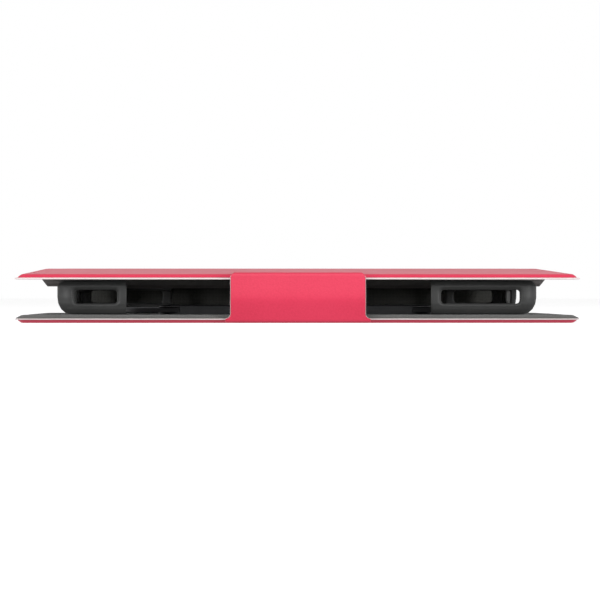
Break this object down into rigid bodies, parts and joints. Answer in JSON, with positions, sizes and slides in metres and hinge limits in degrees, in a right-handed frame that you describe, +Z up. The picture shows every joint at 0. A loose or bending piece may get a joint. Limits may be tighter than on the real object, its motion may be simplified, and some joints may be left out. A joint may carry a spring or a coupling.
{
  "type": "folio tablet case",
  "caption": "Padded folio case for a tablet, with spring-loaded rubber corner grips on diagonal arms, a hinged spine and cover, and a magnetic closing strap.",
  "frame": {"origin": "centre of the back cover's underside, where the closed case rests", "axes": "+X along the spine, +Y from the strap towards the spine, +Z up through the closed case"},
  "size_m": [0.2724, 0.1941, 0.0277],
  "materials": {
    "pink_leatherette": "pebbled leatherette, semi-matt",
    "cut_edge": "off-white cut edge of the leatherette's backing",
    "greyboard": "dense grey board",
    "grey_weave": "fine plain weave lining",
    "grey_rubber": "matt moulded rubber",
    "grey_plastic": "fine spark-eroded texture",
    "steel": "plain, brushed",
    "magnet": "dark flexible magnetic strip"
  },
  "bodies": {
    "back_cover": {"back_cover_skin": "pink_leatherette", "back_cover_backing": "cut_edge", "back_cover_board": "greyboard", "hub_backing_plate": "steel", "back_cover_lining": "grey_weave", "hub_housing": "grey_plastic", "hub_lid": "grey_plastic", "hub_screw_left": "steel", "hub_screw_right": "steel", "hub_screw_near": "steel", "hub_screw_far": "steel", "arm_spring_near_left": "steel", "arm_spring_near_right": "steel", "arm_spring_far_right": "steel", "arm_spring_far_left": "steel"},
    "spine": {"spine_skin": "pink_leatherette", "spine_board": "greyboard", "spine_lining": "grey_weave"},
    "front_cover": {"front_cover_skin": "pink_leatherette", "front_cover_board": "greyboard", "front_cover_magnet_strip": "magnet", "front_cover_backing": "cut_edge", "front_cover_lining": "grey_weave", "stand_ridge_near": "grey_rubber", "stand_ridge_middle": "grey_rubber", "stand_ridge_far": "grey_rubber"},
    "strap_riser": {"strap_riser_skin": "pink_leatherette", "strap_riser_lining": "grey_weave"},
    "strap_tab": {"strap_tab_skin": "pink_leatherette", "strap_tab_lining": "grey_weave", "strap_magnet_strip": "magnet"},
    "holder_near_left": {"arm_near_left": "grey_plastic", "grip_near_left": "grey_rubber", "rivet_near_left": "steel"},
    "holder_near_right": {"arm_near_right": "grey_plastic", "grip_near_right": "grey_rubber", "rivet_near_right": "steel"},
    "holder_far_right": {"arm_far_right": "grey_plastic", "grip_far_right": "grey_rubber", "rivet_far_right": "steel"},
    "holder_far_left": {"arm_far_left": "grey_plastic", "grip_far_left": "grey_rubber", "rivet_far_left": "steel"}
  },
  "joints": [
    {"name": "spine_fold", "type": "hinge", "parent": "back_cover", "child": "spine", "pos_m": [0, 0.095, 0.0009], "axis": [-1, 0, 0], "range_deg": [0, 90]},
    {"name": "front_cover_fold", "type": "hinge", "parent": "spine", "child": "front_cover", "pos_m": [0, 0.095, 0.027], "axis": [-1, 0, 0], "range_deg": [0, 91.3]},
    {"name": "strap_base_fold", "type": "hinge", "parent": "back_cover", "child": "strap_riser", "pos_m": [0, -0.0955, 0.0007], "axis": [1, 0, 0], "range_deg": [0, 74]},
    {"name": "strap_tab_fold", "type": "hinge", "parent": "strap_riser", "child": "strap_tab", "pos_m": [0, -0.0962, 0.0241], "axis": [1, 0, 0], "range_deg": [0, 90]},
    {"name": "near_left_slide", "type": "slide", "parent": "back_cover", "child": "holder_near_left", "axis": [-0.8177, -0.5756, 0], "range_m": [0, 0.017], "stiffness_N_per_m": 80, "springref_m": -0.03, "deforming": ["arm_spring_near_left"]},
    {"name": "near_right_slide", "type": "slide", "parent": "back_cover", "child": "holder_near_right", "axis": [0.8177, -0.5756, 0], "range_m": [0, 0.017], "stiffness_N_per_m": 80, "springref_m": -0.03, "deforming": ["arm_spring_near_right"]},
    {"name": "far_right_slide", "type": "slide", "parent": "back_cover", "child": "holder_far_right", "axis": [0.8177, 0.5756, 0], "range_m": [0, 0.017], "stiffness_N_per_m": 80, "springref_m": -0.03, "deforming": ["arm_spring_far_right"]},
    {"name": "far_left_slide", "type": "slide", "parent": "back_cover", "child": "holder_far_left", "axis": [-0.8177, 0.5756, 0], "range_m": [0, 0.017], "stiffness_N_per_m": 80, "springref_m": -0.03, "deforming": ["arm_spring_far_left"]}
  ]
}
